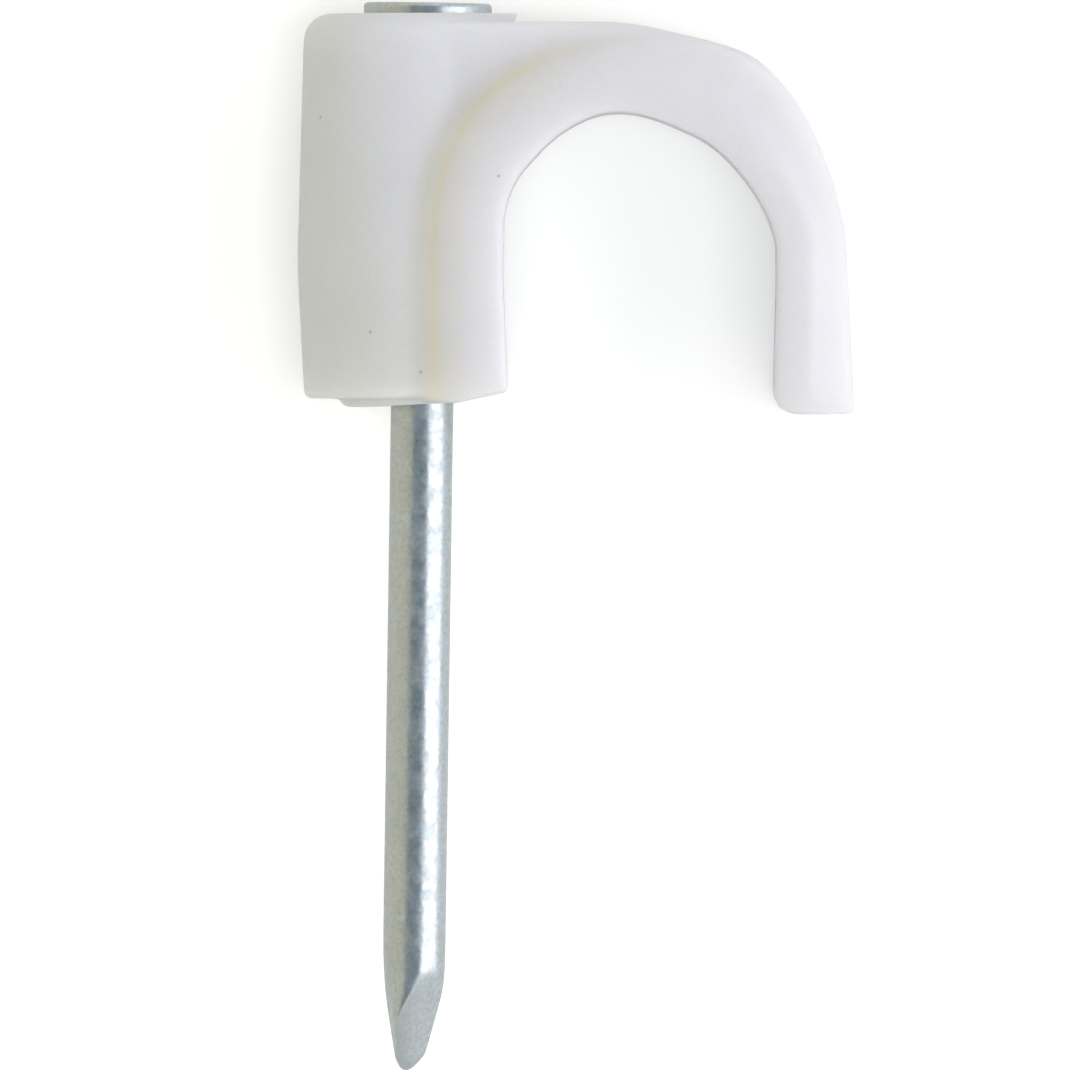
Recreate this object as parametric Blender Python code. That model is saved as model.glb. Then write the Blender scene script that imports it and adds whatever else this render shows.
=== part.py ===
"""A nail-in cable clip, lying on its side: one moulded clip, and the hardened nail through its boss.

The plan is drawn about the point where the nail leaves the boss. X runs across the clip towards the hook,
Y runs along the boss towards the nail's head, and Z runs along the cable, with the clip's mid-plane at zero.
The finished pieces are then set down on the hook's side face, centred on the world origin.
"""

import math

import bmesh
import bpy
from mathutils import Matrix, Vector
from mathutils.geometry import interpolate_bezier

MM = 0.001

# Nail: a straight shank with a thin round head and a cut diamond point
NAIL_DIAMETER = 2.05 * MM
NAIL_LENGTH = 35.0 * MM
NAIL_LEAN = math.radians(0.83)
HEAD_DIAMETER = 4.2 * MM
HEAD_THICKNESS = 0.8 * MM
HEAD_CONE_HEIGHT = 0.5 * MM
HEAD_CHAMFER = 0.12 * MM
HEAD_PROUD = 0.35 * MM
NAIL_CLEARANCE = 0.05 * MM

# Point: each cut runs from the shank, so far above the tip, to this distance from the axis at the tip
POINT_CUTS = {
    "front": {"azimuth": 40.0, "length": 3.3 * MM, "tip_distance": -0.46 * MM},
    "back": {"azimuth": -140.0, "length": 3.45 * MM, "tip_distance": 0.52 * MM},
    "right": {"azimuth": 100.0, "length": 3.2 * MM, "tip_distance": 0.36 * MM},
    "left": {"azimuth": -80.0, "length": 3.6 * MM, "tip_distance": 0.43 * MM},
}

# Blunt end of the point: a second, steeper cut on two sides, from the first distance to the one at the tip
TIP_BLUNT_LENGTH = 0.35 * MM
TIP_BLUNTS = {
    "right": (0.3 * MM, 0.0),
    "left": (0.47 * MM, 0.28 * MM),
}

# Boss: a turned barrel about the nail, drafted from its belly to both ends
BOSS_HEIGHT = 12.62 * MM
BOSS_RADIUS = 4.1 * MM
BELLY_SHARE = 0.35
BELLY_BLEND = 0.8 * MM
TOP_DRAFT = math.radians(1.65)
FOOT_DRAFT = math.radians(3.0)
SHOULDER_RADIUS = 0.9 * MM
LAND_RIM = 0.17 * MM
FOOT_ROUND = 0.16 * MM
SEAT_RADIUS = 2.62 * MM
SEAT_HEIGHT = 0.28 * MM
SEAT_CHAMFER = 0.15 * MM

# Underside: it rises towards the channel, slowly under the boss and faster under the leg
RELIEF_START = -1.8 * MM
BOSS_RELIEF = math.radians(2.8)
LEG_RELIEF = math.radians(11.2)
LEG_CORNER_ROUND = 0.2 * MM

# Channel: the arch that the cable lies in
CHANNEL_WIDTH = 8.92 * MM
NAIL_TO_CHANNEL = 2.68 * MM
NEAR_WALL_DRAFT = math.radians(2.3)
FAR_WALL_DRAFT = math.radians(1.5)
STRAIGHT_WALL = 1.4 * MM
CROWN_INSET = 0.35 * MM
NEAR_CORNER_OUTSET = 0.1 * MM

# Hook: the band round the channel, thicker beside the boss and a little thinner over the far corner
BAND_THICKNESS = 2.29 * MM
NEAR_GROWTH = 0.29 * MM
FAR_INSET = 0.11 * MM
BAND_WIDTH = 9.4 * MM
OUTER_DRAFT = math.radians(2.8)
EDGE_ROUND = 0.3 * MM
RIDGE_OFFSET = 1.2 * MM
BEVEL_DROP = 0.72 * MM
BEVEL_ROUND = 0.3 * MM
TIP_DROP = 0.51 * MM
TIP_INNER_ROUND = 0.84 * MM
TIP_OUTER_ROUND = 0.16 * MM

# Web: the plate that joins the hook's crown to the boss
WEB_WIDTH = 7.56 * MM
WEB_STEP = 0.3 * MM
WEB_RISE = 0.53 * MM
WEB_EDGE_ROUND = 0.25 * MM
WEB_FLAT_END = 1.1 * MM

# Crown: where the web's top edge passes, by its angle about the arch, its height over the band and its fall
CROWN_KNOTS = (
    {"angle": 79.0, "over_band": 0.26 * MM, "fall": 13.0},
    {"angle": 62.0, "over_band": 0.39 * MM, "fall": 22.0},
    {"angle": 42.5, "over_band": 0.16 * MM, "fall": 53.0},
    {"angle": 20.0, "over_band": -0.12 * MM, "fall": 70.0},
)

# Smoothness
TURN_STEPS = 64
NAIL_STEPS = 48
ARCH_STEPS = 40
LEG_STEPS = 6
ROUND_STEPS = 5
OVERSHOOT = 2.0 * MM

# Worked out from the sizes above
NAIL_RADIUS = NAIL_DIAMETER / 2
HEAD_TOP = BOSS_HEIGHT + HEAD_PROUD
CHANNEL_RADIUS = CHANNEL_WIDTH / 2
BAND_RADIUS = CHANNEL_RADIUS + BAND_THICKNESS
WEB_TOP = BOSS_HEIGHT - WEB_STEP
ARCH_CENTRE = Vector((NAIL_TO_CHANNEL + CHANNEL_RADIUS, WEB_TOP - WEB_RISE - BAND_RADIUS, 0.0))
DRAFT_START = ARCH_CENTRE.y - STRAIGHT_WALL
BELLY_HEIGHT = BELLY_SHARE * BOSS_HEIGHT
BOSS_TOP_RADIUS = BOSS_RADIUS - (BOSS_HEIGHT - BELLY_HEIGHT) * math.tan(TOP_DRAFT)
BOSS_FOOT_RADIUS = BOSS_RADIUS - BELLY_HEIGHT * math.tan(FOOT_DRAFT)


def clear_scene():
    for obj in list(bpy.data.objects):
        bpy.data.objects.remove(obj, do_unlink=True)


def make_material(name, colour, roughness, metallic):
    material = bpy.data.materials.new(name)
    material.use_nodes = True
    shader = material.node_tree.nodes["Principled BSDF"]
    shader.inputs["Base Color"].default_value = (*colour, 1.0)
    shader.inputs["Roughness"].default_value = roughness
    shader.inputs["Metallic"].default_value = metallic
    material.diffuse_color = (*colour, 1.0)
    return material


def make_empty(name, parent=None):
    empty = bpy.data.objects.new(name, None)
    bpy.context.scene.collection.objects.link(empty)
    empty.parent = parent
    return empty


def make_object(name, bm, parent, material=None):
    """Turns a bmesh into an object, with its faces pointing out and its round stretches shaded smooth."""
    bmesh.ops.recalc_face_normals(bm, faces=bm.faces)
    mesh = bpy.data.meshes.new(name)
    bm.to_mesh(mesh)
    bm.free()
    mesh.shade_smooth()
    mesh.set_sharp_from_angle(angle=math.radians(35))
    obj = bpy.data.objects.new(name, mesh)
    bpy.context.scene.collection.objects.link(obj)
    obj.parent = parent
    if material:
        mesh.materials.append(material)
    return obj


def make_helper(name, bm, parent):
    """A shape that only adds to or cuts another one."""
    helper = make_object(name, bm, parent)
    helper.hide_render = True
    helper.display_type = "WIRE"
    return helper


def combine(target, helper, operation):
    modifier = target.modifiers.new(helper.name, "BOOLEAN")
    modifier.operation = operation
    modifier.solver = "EXACT"
    modifier.object = helper


def arc(centre, radius, start, end, steps):
    """Points on an arc in the plan, from one angle in radians to another."""
    return [
        centre + radius * Vector((math.cos(angle), math.sin(angle), 0.0))
        for angle in (start + (end - start) * step / steps for step in range(steps + 1))
    ]


def turned(profile, steps):
    """A solid turned about Y from an open profile whose two ends lie on the axis."""
    bm = bmesh.new()
    verts = [bm.verts.new((x, y, 0.0)) for x, y in profile]
    edges = [bm.edges.new(pair) for pair in zip(verts, verts[1:])]
    bmesh.ops.spin(
        bm,
        geom=verts + edges,
        cent=(0.0, 0.0, 0.0),
        axis=(0.0, 1.0, 0.0),
        angle=math.tau,
        steps=steps,
        use_merge=True,
    )
    bmesh.ops.remove_doubles(bm, verts=bm.verts, dist=1e-7)
    return bm


def prism(outline, width):
    """An outline in the plan, given this width about the mid-plane."""
    bm = bmesh.new()
    face = bm.faces.new([bm.verts.new((point.x, point.y, -width / 2)) for point in outline])
    swept = bmesh.ops.extrude_face_region(bm, geom=[face])
    moved = [item for item in swept["geom"] if isinstance(item, bmesh.types.BMVert)]
    bmesh.ops.translate(bm, verts=moved, vec=(0.0, 0.0, width))
    return bm


def loft(rings):
    """A solid through a row of closed rings that have the same number of points."""
    bm = bmesh.new()
    loops = [[bm.verts.new(point) for point in ring] for ring in rings]
    count = len(loops[0])
    for first, second in zip(loops, loops[1:]):
        for index in range(count):
            after = (index + 1) % count
            bm.faces.new((first[index], first[after], second[after], second[index]))
    bm.faces.new(loops[0])
    bm.faces.new(reversed(loops[-1]))
    return bm


def smoothstep(low, high, value):
    share = min(max((value - low) / (high - low), 0.0), 1.0)
    return share * share * (3.0 - 2.0 * share)


def window(opening, closing, value):
    """One between the two ranges, with a soft start over the first and a soft end over the second."""
    return smoothstep(*opening, value) * (1.0 - smoothstep(*closing, value))


def channel_radius_at(degrees):
    """The arch's radius: pulled in a little over the far half of its crown, and let out in its near corner."""
    inset = CROWN_INSET * window((3.0, 32.0), (68.0, 100.0), degrees)
    outset = NEAR_CORNER_OUTSET * window((138.0, 154.0), (162.0, 178.0), degrees)
    return CHANNEL_RADIUS - inset + outset


def band_radius_at(degrees):
    """The band's outer radius, grown towards the boss and pulled in over the far corner."""
    growth = NEAR_GROWTH * smoothstep(90.0, 140.0, degrees)
    inset = FAR_INSET * window((0.0, 12.0), (66.0, 100.0), degrees)
    return BAND_RADIUS + growth - inset


def direction(degrees):
    """A unit vector in the plan, at this angle from X."""
    return Vector((math.cos(math.radians(degrees)), math.sin(math.radians(degrees)), 0.0))


def lean(height, start, draft):
    """How far a drafted wall has moved sideways at this height, below the height where its draft starts."""
    return max(start - height, 0.0) * math.tan(draft)


def corner_cut(distance, radius):
    """How far a round corner has pulled a wall back, this far from the end of the wall."""
    if distance >= radius:
        return 0.0
    return radius - math.sqrt(max(radius**2 - (radius - distance) ** 2, 0.0))


def leg_heights(top, bottom, corner):
    """Heights of the stations down a leg, closer together round its corner."""
    straight = bottom + corner
    heights = [top + (straight - top) * step / LEG_STEPS for step in range(1, LEG_STEPS + 1)]
    for step in range(1, ROUND_STEPS + 1):
        turn = math.pi / 2 * step / ROUND_STEPS
        heights.append(straight - corner * math.sin(turn))
    return heights


def band_stations():
    """Inner and outer edge of the band, from the foot of the boss's leg round to the hook's tip."""
    centre = ARCH_CENTRE
    near_x = centre.x - CHANNEL_RADIUS
    stations = []
    for step in range(LEG_STEPS + 1):
        height = -SEAT_HEIGHT + (centre.y + SEAT_HEIGHT) * step / (LEG_STEPS + 1)
        inner = Vector((near_x + lean(height, DRAFT_START, NEAR_WALL_DRAFT), height, 0.0))
        stations.append((inner, Vector((near_x - BAND_THICKNESS - NEAR_GROWTH, height, 0.0))))
    for step in range(ARCH_STEPS + 1):
        degrees = 180.0 * (1.0 - step / ARCH_STEPS)
        inner = centre + direction(degrees) * channel_radius_at(degrees)
        stations.append((inner, centre + direction(degrees) * band_radius_at(degrees)))
    for height in leg_heights(centre.y, -TIP_DROP, TIP_INNER_ROUND):
        above_tip = height + TIP_DROP
        inner_x = centre.x + CHANNEL_RADIUS - lean(height, DRAFT_START, FAR_WALL_DRAFT)
        outer_x = centre.x + BAND_RADIUS + lean(height, centre.y, OUTER_DRAFT)
        inner = Vector((inner_x + corner_cut(above_tip, TIP_INNER_ROUND), height, 0.0))
        outer = Vector((outer_x - corner_cut(above_tip, TIP_OUTER_ROUND), height, 0.0))
        stations.append((inner, outer))
    return stations


def band_section(thickness):
    """Half of the band's section, as distance from the inner face and half-width, from the channel outwards."""
    half = BAND_WIDTH / 2
    edge = arc(Vector((EDGE_ROUND, half - EDGE_ROUND, 0.0)), EDGE_ROUND, math.pi, math.pi / 2, ROUND_STEPS)
    slope = math.atan2(BEVEL_DROP, thickness - RIDGE_OFFSET)
    turn = math.pi / 2 - slope
    setback = BEVEL_ROUND * math.tan(turn / 2)
    corner = Vector((thickness - BEVEL_ROUND, half - BEVEL_DROP - setback, 0.0))
    bevel = arc(corner, BEVEL_ROUND, math.pi / 2 - slope, 0.0, ROUND_STEPS)
    return [*edge, Vector((RIDGE_OFFSET, half, 0.0)), *bevel]


def make_band():
    rings = []
    for inner, outer in band_stations():
        thickness = (outer - inner).length
        outward = (outer - inner).normalized()
        section = band_section(thickness)
        front = [inner + outward * point.x + Vector((0.0, 0.0, point.y)) for point in section]
        back = [Vector((point.x, point.y, -point.z)) for point in reversed(front)]
        rings.append(front + back)
    return loft(rings)


def make_channel_core():
    """What the boss loses to the channel, out to the middle of the band."""
    middle = [(inner + outer) / 2 for inner, outer in band_stations()]
    first = Vector((middle[0].x, -OVERSHOOT, 0.0))
    last = Vector((middle[-1].x, -OVERSHOOT, 0.0))
    return prism([first, *middle, last], BAND_WIDTH + OVERSHOOT)


def make_web():
    """The plate in the corner between boss and crown, its top edge running out into the band."""
    centre = ARCH_CENTRE
    knots = [(Vector((centre.x - WEB_FLAT_END, WEB_TOP, 0.0)), direction(0.0))]
    for knot in CROWN_KNOTS:
        place = centre + direction(knot["angle"]) * (BAND_RADIUS + knot["over_band"])
        knots.append((place, direction(-knot["fall"])))
    outline = [Vector((0.0, centre.y, 0.0)), Vector((0.0, WEB_TOP, 0.0))]
    for (start, leaving), (end, arriving) in zip(knots, knots[1:]):
        reach = (end - start).length / 3
        outline += interpolate_bezier(start, start + leaving * reach, end - arriving * reach, end, ROUND_STEPS)[:-1]
    outline.append(knots[-1][0])
    middle_radius = BAND_RADIUS - BAND_THICKNESS / 2
    run_out = math.radians(CROWN_KNOTS[-1]["angle"])
    outline += arc(centre, middle_radius, run_out, math.pi, ARCH_STEPS // 2)
    bm = prism(outline, WEB_WIDTH)
    rims = [edge for edge in bm.edges if edge.verts[0].co.z == edge.verts[1].co.z]
    bmesh.ops.bevel(
        bm,
        geom=rims,
        offset=WEB_EDGE_ROUND,
        offset_type="OFFSET",
        segments=3,
        profile=0.5,
        affect="EDGES",
        material=-1,
    )
    return bm


def boss_profile():
    """From the seat's middle out along the underside, up the drafted wall and in over the shoulder."""
    foot_corner = Vector((BOSS_FOOT_RADIUS - FOOT_ROUND, FOOT_ROUND, 0.0))
    shoulder = Vector((BOSS_TOP_RADIUS - SHOULDER_RADIUS, BOSS_HEIGHT - SHOULDER_RADIUS, 0.0))
    belly_low = Vector((BOSS_RADIUS - BELLY_BLEND * math.tan(FOOT_DRAFT), BELLY_HEIGHT - BELLY_BLEND, 0.0))
    belly_high = Vector((BOSS_RADIUS - BELLY_BLEND * math.tan(TOP_DRAFT), BELLY_HEIGHT + BELLY_BLEND, 0.0))
    belly = Vector((BOSS_RADIUS, BELLY_HEIGHT, 0.0))
    points = [
        Vector((0.0, -SEAT_HEIGHT, 0.0)),
        Vector((SEAT_RADIUS - SEAT_CHAMFER, -SEAT_HEIGHT, 0.0)),
        Vector((SEAT_RADIUS, -SEAT_HEIGHT + SEAT_CHAMFER, 0.0)),
        Vector((SEAT_RADIUS, 0.0, 0.0)),
        *arc(foot_corner, FOOT_ROUND, -math.pi / 2, 0.0, 3),
        belly_low,
        belly,
        belly_high,
        *arc(shoulder, SHOULDER_RADIUS, 0.0, math.pi / 2, 2 * ROUND_STEPS),
        Vector((0.0, BOSS_HEIGHT, 0.0)),
    ]
    return [(point.x, point.y) for point in points]


def make_underside_relief():
    """The sloping cut under the boss and the leg, which leaves the seat flat only on its far side."""
    start = Vector((RELIEF_START, -SEAT_HEIGHT, 0.0))
    leg_side = NAIL_RADIUS + NAIL_CLEARANCE
    knee = Vector((leg_side, start.y + (leg_side - start.x) * math.tan(BOSS_RELIEF), 0.0))
    corner_x = NAIL_TO_CHANNEL + lean(0.0, DRAFT_START, NEAR_WALL_DRAFT) - LEG_CORNER_ROUND
    corner_y = knee.y + (corner_x - knee.x) * math.tan(LEG_RELIEF) + LEG_CORNER_ROUND / math.cos(LEG_RELIEF)
    corner = arc(
        Vector((corner_x, corner_y, 0.0)),
        LEG_CORNER_ROUND,
        LEG_RELIEF - math.pi / 2,
        0.0,
        ROUND_STEPS,
    )
    end_x = corner_x + LEG_CORNER_ROUND + OVERSHOOT
    below = -SEAT_HEIGHT - OVERSHOOT
    outline = [start, knee, *corner, Vector((end_x, corner_y, 0.0))]
    outline += [Vector((end_x, below, 0.0)), Vector((start.x, below, 0.0))]
    return prism(outline, BAND_WIDTH + OVERSHOOT)


def make_shoulder_trim():
    """The step where the round land of the boss's top stops above the web."""
    step_x = BOSS_TOP_RADIUS - SHOULDER_RADIUS + LAND_RIM
    outline = [
        Vector((step_x, WEB_TOP, 0.0)),
        Vector((BOSS_RADIUS + OVERSHOOT, WEB_TOP, 0.0)),
        Vector((BOSS_RADIUS + OVERSHOOT, BOSS_HEIGHT + OVERSHOOT, 0.0)),
        Vector((step_x, BOSS_HEIGHT + OVERSHOOT, 0.0)),
    ]
    return prism(outline, BAND_WIDTH)


def nail_profile(grow, over_top, over_bottom):
    """The nail's outline about its axis, from the tip up to the head, grown by a clearance for its seat."""
    shank = NAIL_RADIUS + grow
    head = HEAD_DIAMETER / 2 + grow
    head_under = HEAD_TOP - HEAD_THICKNESS - grow
    bottom = HEAD_TOP - NAIL_LENGTH - over_bottom
    top = HEAD_TOP + over_top
    chamfer = 0.0 if grow else HEAD_CHAMFER
    points = [(0.0, bottom), (shank, bottom), (shank, head_under - HEAD_CONE_HEIGHT), (head, head_under)]
    points += [(head, top - chamfer)]
    if chamfer:
        points += [(head - chamfer, top)]
    return [*points, (0.0, top)]


def cut_point(bm, azimuth, upper_distance, length, tip_distance):
    """Cuts one flat on the nail's point, with its slope set by two distances from the axis."""
    tip_y = HEAD_TOP - NAIL_LENGTH
    outward = Vector((math.sin(math.radians(azimuth)), 0.0, math.cos(math.radians(azimuth))))
    slope = math.atan2(upper_distance - tip_distance, length)
    normal = outward * math.cos(slope) + Vector((0.0, -math.sin(slope), 0.0))
    on_flat = outward * upper_distance + Vector((0.0, tip_y + length, 0.0))
    cut = bmesh.ops.bisect_plane(
        bm,
        geom=[*bm.verts, *bm.edges, *bm.faces],
        dist=1e-8,
        plane_co=on_flat,
        plane_no=normal,
        clear_outer=True,
    )
    rim = [item for item in cut["geom_cut"] if isinstance(item, bmesh.types.BMEdge)]
    bmesh.ops.contextual_create(bm, geom=rim)


def make_nail(parent, material):
    bm = turned(nail_profile(0.0, 0.0, 0.0), NAIL_STEPS)
    for cut in POINT_CUTS.values():
        cut_point(bm, cut["azimuth"], NAIL_RADIUS, cut["length"], cut["tip_distance"])
    for side, (upper_distance, tip_distance) in TIP_BLUNTS.items():
        cut_point(bm, POINT_CUTS[side]["azimuth"], upper_distance, TIP_BLUNT_LENGTH, tip_distance)
    return make_object("steel_nail", bm, parent, material)


def make_body(clip_frame, nail_frame, material):
    body = make_object("clip_body", turned(boss_profile(), TURN_STEPS), clip_frame, material)
    combine(body, make_helper("channel_core", make_channel_core(), clip_frame), "DIFFERENCE")
    combine(body, make_helper("hook_band", make_band(), clip_frame), "UNION")
    combine(body, make_helper("crown_web", make_web(), clip_frame), "UNION")
    combine(body, make_helper("underside_relief", make_underside_relief(), clip_frame), "DIFFERENCE")
    combine(body, make_helper("shoulder_trim", make_shoulder_trim(), clip_frame), "DIFFERENCE")
    bore = turned(nail_profile(NAIL_CLEARANCE, OVERSHOOT, 0.0), NAIL_STEPS)
    combine(body, make_helper("nail_bore", bore, nail_frame), "DIFFERENCE")
    return body


def world_bounds(pieces):
    """Lowest and highest corner of the finished pieces."""
    bpy.context.view_layer.update()
    graph = bpy.context.evaluated_depsgraph_get()
    points = []
    for piece in pieces:
        evaluated = piece.evaluated_get(graph)
        points += [evaluated.matrix_world @ vert.co for vert in evaluated.data.vertices]
    low = Vector([min(point[axis] for point in points) for axis in range(3)])
    high = Vector([max(point[axis] for point in points) for axis in range(3)])
    return low, high


def set_down(frame, pieces):
    """Moves the frame so that the pieces lie on the floor, centred on the world origin."""
    low, high = world_bounds(pieces)
    frame.location -= Vector(((low.x + high.x) / 2, (low.y + high.y) / 2, low.z))


def main():
    clear_scene()
    milky_plastic = make_material("milky_polyethylene", (0.80, 0.80, 0.79), 0.42, 0.0)
    zinc_steel = make_material("zinc_plated_steel", (0.62, 0.64, 0.65), 0.28, 1.0)
    clip_frame = make_empty("clip_frame")
    nail_frame = make_empty("nail_axis", clip_frame)
    nail_frame.matrix_local = Matrix.Rotation(-NAIL_LEAN, 4, "Z")
    nail = make_nail(nail_frame, zinc_steel)
    body = make_body(clip_frame, nail_frame, milky_plastic)
    set_down(clip_frame, (body, nail))


if __name__ == "__main__":
    main()
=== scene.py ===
"""The looks of a nail-in cable clip: a milky moulded clip with a zinc-plated nail through its boss.

The clip lies on its side on a white table and is seen from straight above. Its plan has X towards the hook,
Y along the boss towards the nail's head and Z up, along the cable. Shapes are built in millimetres about the
point where the nail leaves the boss, and a last step sets them in metres where the frame's own solids lie.
"""

import logging
import math
from collections.abc import Callable, Sequence
from dataclasses import dataclass, field
from enum import Enum
from typing import Any

import bmesh
import bpy
from mathutils import Matrix, Vector
from mathutils.geometry import interpolate_bezier

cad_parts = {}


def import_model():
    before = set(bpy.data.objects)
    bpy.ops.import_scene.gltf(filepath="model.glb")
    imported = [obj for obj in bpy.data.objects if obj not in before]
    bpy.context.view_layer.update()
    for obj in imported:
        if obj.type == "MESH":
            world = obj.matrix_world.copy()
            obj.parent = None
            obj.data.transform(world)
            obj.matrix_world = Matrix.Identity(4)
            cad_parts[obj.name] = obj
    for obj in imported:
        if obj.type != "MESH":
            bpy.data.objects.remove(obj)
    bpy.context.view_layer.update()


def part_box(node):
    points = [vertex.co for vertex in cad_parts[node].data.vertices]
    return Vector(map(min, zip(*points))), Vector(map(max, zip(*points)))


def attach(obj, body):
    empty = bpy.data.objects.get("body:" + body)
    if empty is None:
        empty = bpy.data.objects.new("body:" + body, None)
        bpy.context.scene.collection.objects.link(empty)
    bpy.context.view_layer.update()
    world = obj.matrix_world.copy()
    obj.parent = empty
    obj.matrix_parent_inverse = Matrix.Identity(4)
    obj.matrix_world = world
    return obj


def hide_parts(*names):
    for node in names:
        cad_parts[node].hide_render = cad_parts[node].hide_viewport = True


LOG = logging.getLogger("cable_clip")
MM = 0.001
OVERSHOOT = 2.0

Colour = tuple[float, float, float]
Pair = tuple[float, float]
Shape = bmesh.types.BMesh
Socket = bpy.types.NodeSocket


class Slot(Enum):
    """The record's material slots."""

    MILKY_PLASTIC = "milky_plastic"
    ZINC_STEEL = "zinc_steel"


class Node(Enum):
    """The frame's solids."""

    CLIP_BODY = "clip_body"
    STEEL_NAIL = "steel_nail"


def direction(degrees: float) -> Vector:
    """A unit vector in the plan, at this angle from X."""
    return Vector((math.cos(math.radians(degrees)), math.sin(math.radians(degrees)), 0.0))


def smoothstep(low: float, high: float, value: float) -> float:
    """Zero below low, one above high, and a soft rise between them."""
    share = min(max((value - low) / (high - low), 0.0), 1.0)
    return share * share * (3.0 - 2.0 * share)


def window(opening: Pair, closing: Pair, value: float) -> float:
    """One between two ranges, with a soft start over the first and a soft end over the second."""
    return smoothstep(*opening, value) * (1.0 - smoothstep(*closing, value))


def lean(height: float, start: float, draft: float) -> float:
    """How far a drafted wall has moved sideways.

    Args:
        height: the height that is asked for.
        start: the height below which the wall leans.
        draft: its lean in degrees.
    """
    return max(start - height, 0.0) * math.tan(math.radians(draft))


def corner_cut(distance: float, radius: float) -> float:
    """How far a round corner has pulled a wall back, this far from the end of the wall."""
    if distance >= radius:
        return 0.0
    return radius - math.sqrt(max(radius**2 - (radius - distance) ** 2, 0.0))


def rounded(corners: Sequence[tuple[float, float, float]], steps: int) -> list[Vector]:
    """An open outline in the plan whose inner corners are rounded.

    Args:
        corners: x, y and radius of each corner. The radius of the first and the last isn't used.
        steps: straight pieces in each round corner.

    Returns:
        The outline's points.
    """
    places = [Vector((x, y, 0.0)) for x, y, _ in corners]
    points = [places[0]]
    radii = [radius for _, _, radius in corners]
    for before, here, after, radius in zip(places, places[1:], places[2:], radii[1:]):
        arriving = (here - before).normalized()
        leaving = (after - here).normalized()
        turn = math.atan2(arriving.cross(leaving).z, arriving.dot(leaving))
        if radius <= 0.0 or abs(turn) < 1e-4:
            points.append(here)
            continue
        side = math.copysign(1.0, turn)
        start = here - arriving * radius * math.tan(abs(turn) / 2)
        centre = start + side * radius * Vector((-arriving.y, arriving.x, 0.0))
        for step in range(steps + 1):
            heading = Matrix.Rotation(turn * step / steps, 3, "Z") @ arriving
            points.append(centre - side * radius * Vector((-heading.y, heading.x, 0.0)))
    return [*points, places[-1]]


def spun(profile: Sequence[Vector], steps: int) -> Shape:
    """A solid turned about Y from an open profile whose two ends lie on the axis."""
    bm = bmesh.new()
    verts = [bm.verts.new(point) for point in profile]
    edges = [bm.edges.new(pair) for pair in zip(verts, verts[1:])]
    axis = {"cent": (0.0, 0.0, 0.0), "axis": (0.0, 1.0, 0.0)}
    bmesh.ops.spin(bm, geom=verts + edges, angle=math.tau, steps=steps, use_merge=True, **axis)
    bmesh.ops.remove_doubles(bm, verts=bm.verts, dist=1e-4)
    return bm


def prism(outline: Sequence[Vector], width: float) -> Shape:
    """An outline in the plan, given this width about the mid-plane."""
    bm = bmesh.new()
    face = bm.faces.new([bm.verts.new((point.x, point.y, -width / 2)) for point in outline])
    swept = bmesh.ops.extrude_face_region(bm, geom=[face])
    moved = [item for item in swept["geom"] if isinstance(item, bmesh.types.BMVert)]
    bmesh.ops.translate(bm, verts=moved, vec=(0.0, 0.0, width))
    return bm


def bridged(rings: Sequence[Sequence[Vector]]) -> Shape:
    """A solid through a row of closed rings that have the same number of points."""
    bm = bmesh.new()
    loops = []
    for ring in rings:
        verts = [bm.verts.new(point) for point in ring]
        loops.append([bm.edges.new(pair) for pair in zip(verts, verts[1:] + verts[:1])])
    for first, second in zip(loops, loops[1:]):
        bmesh.ops.bridge_loops(bm, edges=first + second)
    for end in (loops[0], loops[-1]):
        bmesh.ops.contextual_create(bm, geom=end)
    return bm


def soften(bm: Shape, verts: Sequence[bmesh.types.BMVert], passes: int) -> None:
    """Smooths these points of a mesh this many times."""
    for _ in range(passes):
        bmesh.ops.smooth_vert(bm, verts=verts, factor=0.5, use_axis_x=True, use_axis_y=True, use_axis_z=True)


def make_object(name: str, bm: Shape) -> bpy.types.Object:
    """Turns a bmesh into an object, with its faces pointing outwards."""
    bmesh.ops.recalc_face_normals(bm, faces=bm.faces)
    mesh = bpy.data.meshes.new(name)
    bm.to_mesh(mesh)
    bm.free()
    obj = bpy.data.objects.new(name, mesh)
    bpy.context.scene.collection.objects.link(obj)
    return obj


def settle(obj: bpy.types.Object) -> None:
    """Makes what the modifiers give the object's own mesh, and removes them."""
    bpy.context.view_layer.update()
    graph = bpy.context.evaluated_depsgraph_get()
    mesh = bpy.data.meshes.new_from_object(obj.evaluated_get(graph), depsgraph=graph)
    obj.modifiers.clear()
    obj.data = mesh


def mark_tints(mesh: bpy.types.Mesh, tints: dict[str, Callable[[Vector], float]]) -> None:
    """Keeps what a material's colour reads at each point of a mesh.

    Args:
        mesh: the mesh that is marked.
        tints: each attribute's name and the function that gives its value at a place.
    """
    for name, tint in tints.items():
        layer = mesh.attributes.new(name, "FLOAT", "POINT")
        layer.data.foreach_set("value", [tint(vert.co) for vert in mesh.vertices])


def combine(target: bpy.types.Object, steps: Sequence[tuple[str, Shape]], solver: str) -> None:
    """Adds shapes to an object or takes them away.

    Args:
        target: the object that is changed.
        steps: the Boolean operation and the shape of each step, in their order.
        solver: the Boolean solver.
    """
    tools = []
    for operation, shape in steps:
        tool = make_object(f"{target.name}_tool", shape)
        modifier = target.modifiers.new(operation.lower(), "BOOLEAN")
        modifier.operation = operation
        modifier.solver = solver
        modifier.object = tool
        tools.append(tool)
    settle(target)
    for tool in tools:
        bpy.data.objects.remove(tool, do_unlink=True)


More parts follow.
